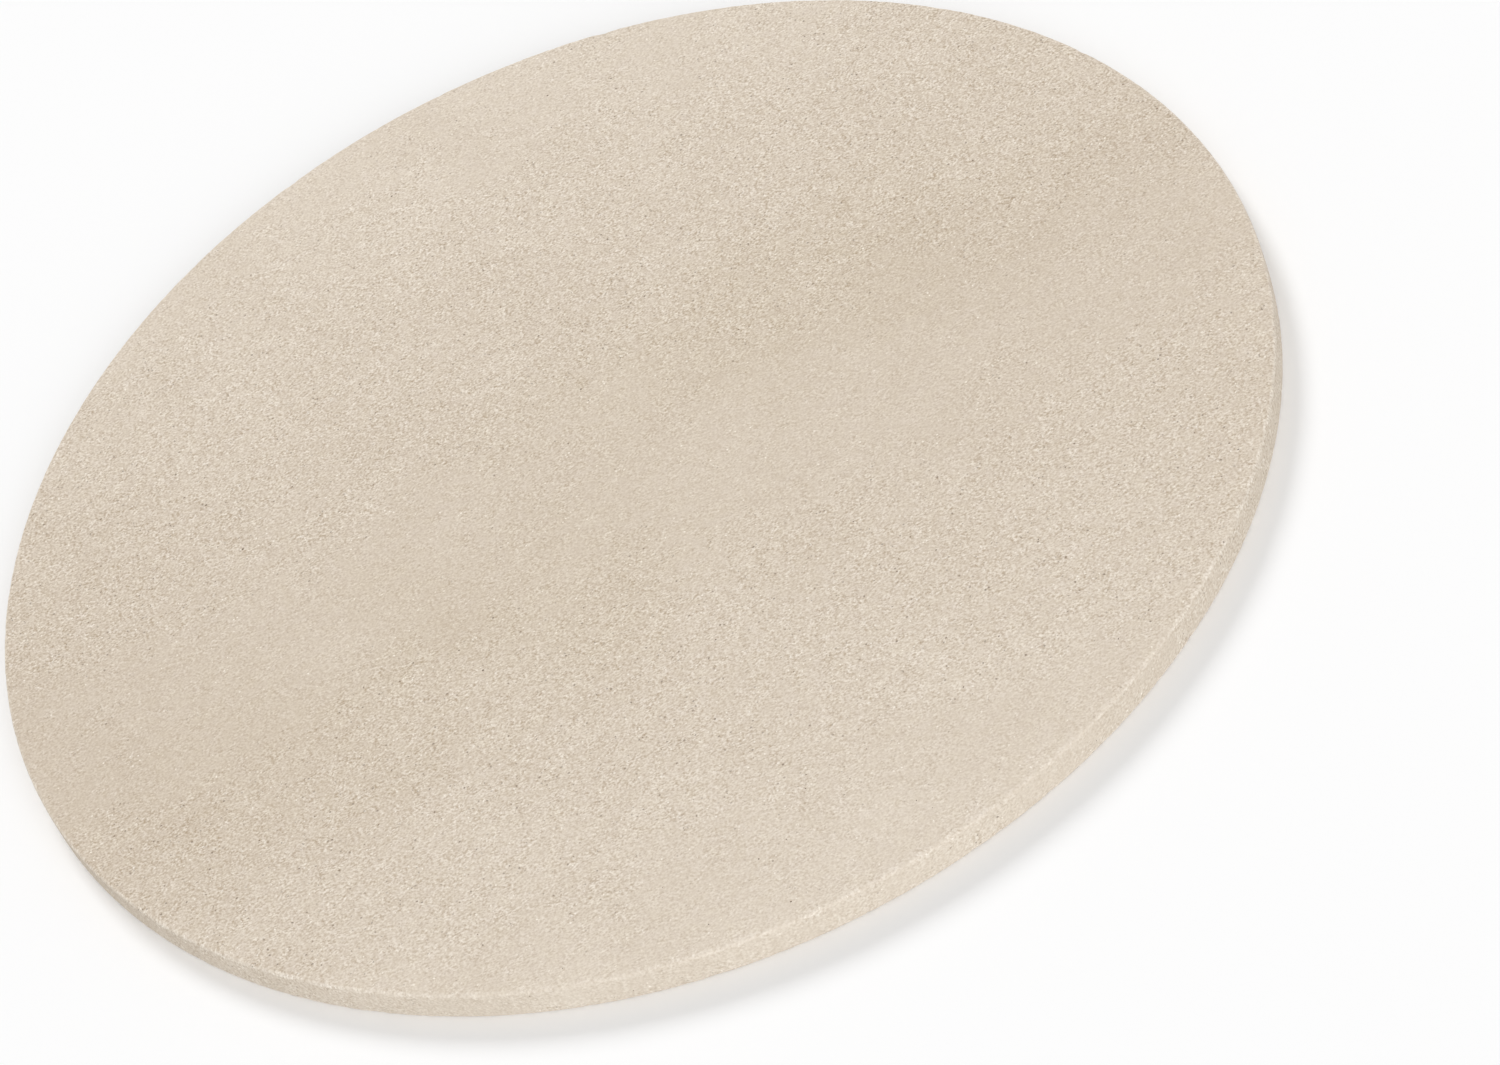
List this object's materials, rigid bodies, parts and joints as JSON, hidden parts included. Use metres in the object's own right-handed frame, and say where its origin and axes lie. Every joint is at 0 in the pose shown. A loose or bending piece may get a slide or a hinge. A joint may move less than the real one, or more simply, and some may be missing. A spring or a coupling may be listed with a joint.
{
  "type": "pizza stone",
  "caption": "Round flat ceramic baking stone with plain faces and softly rounded rims.",
  "frame": {"origin": "centre of the resting face, on the stone's axis", "axes": "+Z along the stone's axis, up out of the baking face; X and Y lie in the resting face"},
  "size_m": [0.38, 0.38, 0.01],
  "materials": {
    "cordierite": "matt, unglazed, fine sandy grain"
  },
  "bodies": {
    "root": {"baking_slab": "cordierite"}
  },
  "joints": []
}
